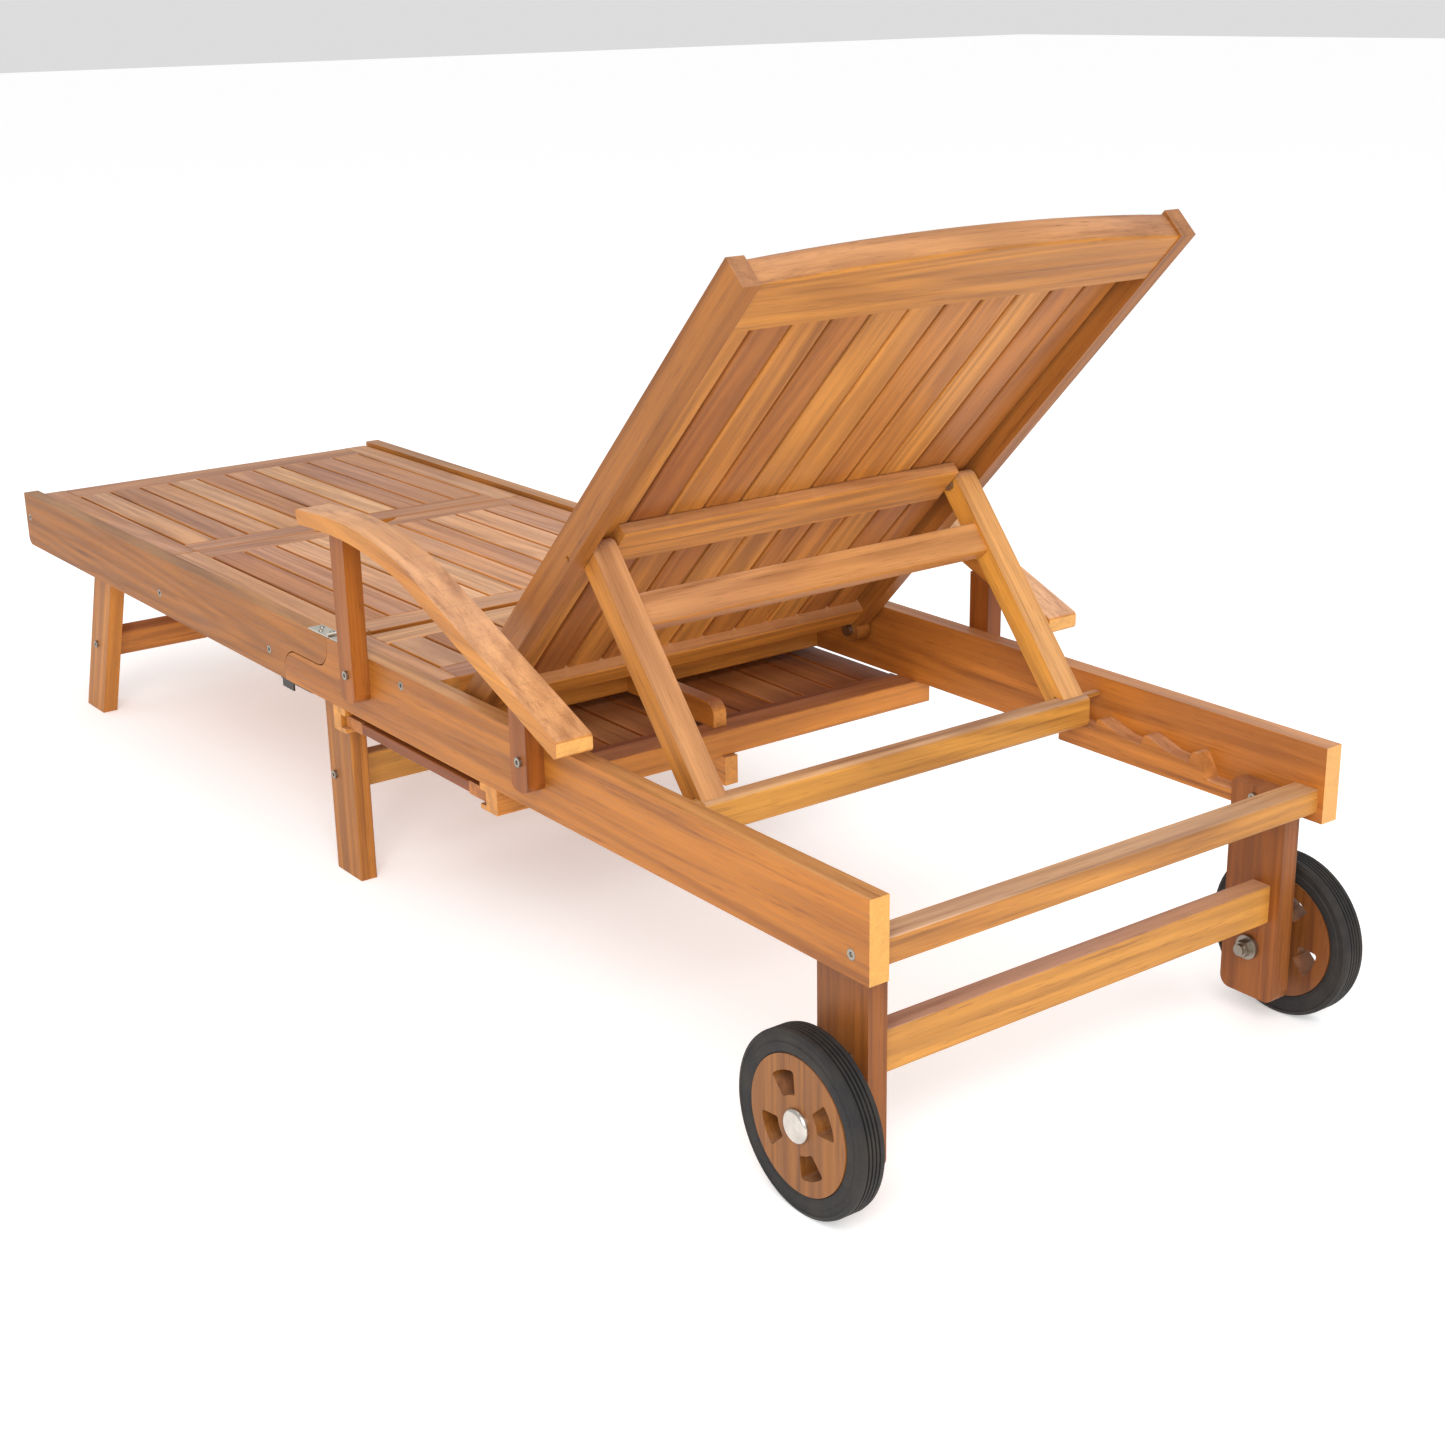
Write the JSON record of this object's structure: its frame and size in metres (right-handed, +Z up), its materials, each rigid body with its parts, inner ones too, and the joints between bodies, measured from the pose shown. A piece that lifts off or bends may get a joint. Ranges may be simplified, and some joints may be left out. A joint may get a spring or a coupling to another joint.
{
  "type": "sun lounger",
  "caption": "Folding wooden sun lounger with slatted deck, reclining back on a propping frame, knee raise, armrests, slide-out tray and two wheels.",
  "frame": {"origin": "on the floor, under the middle of the lounger's whole length and width", "axes": "+X to the left side as seen by a person lying on it, +Y to the head end with the wheels, +Z up"},
  "size_m": [0.7, 2.026, 0.8251],
  "materials": {
    "teak": "oiled, satin",
    "teak_dark": "oiled, satin",
    "wheel_wood": "oiled, satin",
    "steel": "satin",
    "chrome": "polished",
    "tyre": "matt"
  },
  "bodies": {
    "frame": {"head_rail_left": "teak", "head_rail_right": "teak", "mid_legs": "teak", "wheel_legs": "teak", "leg_stretchers": "teak", "head_crossbar": "teak", "seat_joist": "teak", "seat_stiles": "teak", "seat_cross_rails": "teak", "seat_slats": "teak", "racks": "teak", "arms": "teak", "arm_posts": "teak", "tray_guides": "teak", "tray_centre_boards": "teak", "hinge_leaves_head": "steel", "hinge_screws_head": "steel", "hinge_pins": "steel", "bolts_head": "steel", "axles": "steel", "axle_nuts": "steel", "axle_washers": "steel", "latch_screws": "steel", "back_pivot_bolts": "steel"},
    "foot_section": {"foot_rail_left": "teak", "foot_rail_right": "teak", "foot_legs": "teak", "foot_stretcher": "teak", "foot_joists": "teak", "ledge_cleats": "teak", "hinge_leaves_foot": "steel", "hinge_screws_foot": "steel", "bolts_foot": "steel", "latch_pins": "steel"},
    "thigh_panel": {"thigh_stiles": "teak", "thigh_cross_rails": "teak", "thigh_slats": "teak", "thigh_pins": "steel"},
    "calf_panel": {"calf_stiles": "teak", "calf_cross_rails": "teak", "calf_slats": "teak"},
    "backrest": {"back_stiles": "teak", "back_top_rail": "teak", "back_bottom_rail": "teak", "back_slats": "teak", "back_batten": "teak", "prop_bolts": "steel"},
    "prop": {"prop_struts": "teak", "prop_foot_bar": "teak", "prop_cross_bar": "teak"},
    "tray": {"tray_rails": "teak_dark", "tray_slats": "teak_dark"},
    "wheel_left": {"wheel_hub_left": "wheel_wood", "wheel_tyre_left": "tyre", "wheel_cap_left": "chrome"},
    "wheel_right": {"wheel_hub_right": "wheel_wood", "wheel_tyre_right": "tyre", "wheel_cap_right": "chrome"},
    "latch_left": {"latch_left": "steel"},
    "latch_right": {"latch_right": "steel"}
  },
  "joints": [
    {"name": "foot_fold", "type": "hinge", "parent": "frame", "child": "foot_section", "pos_m": [0, 0.003, 0.319], "axis": [1, 0, 0], "range_deg": [-140, 0]},
    {"name": "thigh_raise", "type": "hinge", "parent": "foot_section", "child": "thigh_panel", "pos_m": [0, -0.028, 0.3], "axis": [-1, 0, 0], "range_deg": [0, 28.6]},
    {"name": "calf_slope", "type": "hinge", "parent": "thigh_panel", "child": "calf_panel", "pos_m": [0, -0.5145, 0.2914], "axis": [-1, 0, 0], "range_deg": [-57.24, 0]},
    {"name": "backrest_recline", "type": "hinge", "parent": "frame", "child": "backrest", "pos_m": [0, 0.287, 0.284], "axis": [1, 0, 0], "range_deg": [-46, 0]},
    {"name": "prop_swing", "type": "hinge", "parent": "backrest", "child": "prop", "pos_m": [0, 0.49813, 0.50551], "axis": [1, 0, 0], "range_deg": [0, 92.5]},
    {"name": "tray_slide", "type": "slide", "parent": "frame", "child": "tray", "axis": [1, 0, 0], "range_m": [-0.35, 0.35]},
    {"name": "wheel_spin_left", "type": "hinge", "parent": "frame", "child": "wheel_left", "pos_m": [0.32, 0.925, 0.088], "axis": [1, 0, 0], "continuous": true},
    {"name": "wheel_spin_right", "type": "hinge", "parent": "frame", "child": "wheel_right", "pos_m": [-0.32, 0.925, 0.088], "axis": [1, 0, 0], "continuous": true},
    {"name": "latch_turn_left", "type": "hinge", "parent": "frame", "child": "latch_left", "pos_m": [0.294, -0.061, 0.2335], "axis": [0, 0, 1], "range_deg": [0, 70]},
    {"name": "latch_turn_right", "type": "hinge", "parent": "frame", "child": "latch_right", "pos_m": [-0.294, -0.061, 0.2335], "axis": [0, 0, -1], "range_deg": [0, 70]}
  ],
  "couplings": [
    {"joint": "calf_slope", "follows": "thigh_raise", "ratio": -1.984},
    {"joint": "prop_swing", "follows": "backrest_recline", "ratio": -1.994}
  ]
}
